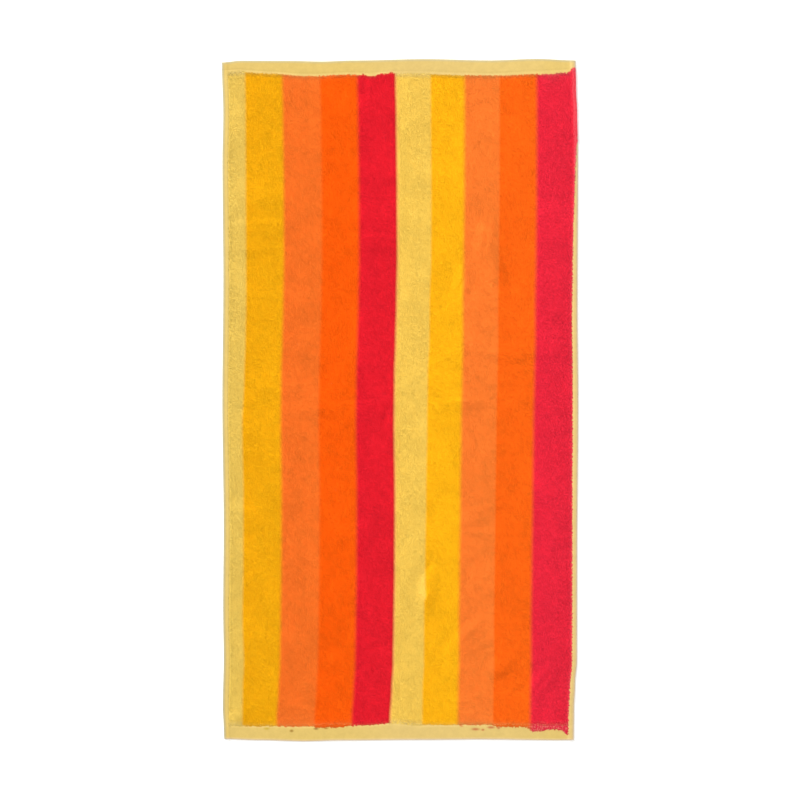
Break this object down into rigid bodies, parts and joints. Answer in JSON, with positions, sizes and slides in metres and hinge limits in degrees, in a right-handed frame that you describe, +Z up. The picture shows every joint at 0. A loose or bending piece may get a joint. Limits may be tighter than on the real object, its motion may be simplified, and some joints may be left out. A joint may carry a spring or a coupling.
{
  "type": "hand towel",
  "caption": "Flat single-layer hand towel of striped cut-pile cotton velour, with flat-woven hem bands at its ends and narrow side hems.",
  "frame": {"origin": "on the surface that the towel lies on, under the middle of its outline", "axes": "+X across the towel from its straw side to its red side, +Y along it, +Z up out of the printed pile"},
  "size_m": [0.503, 0.9632, 0.005],
  "materials": {
    "velour_pile": "sheared cotton velour pile, printed in straw, amber, light orange, orange and red stripes",
    "hem_weave": "flat cotton weave without pile, straw dyed, turned under and stitched",
    "sewing_thread": "matt spun polyester lockstitch thread, straw dyed"
  },
  "bodies": {
    "root": {"towel": "velour_pile"}
  },
  "joints": []
}
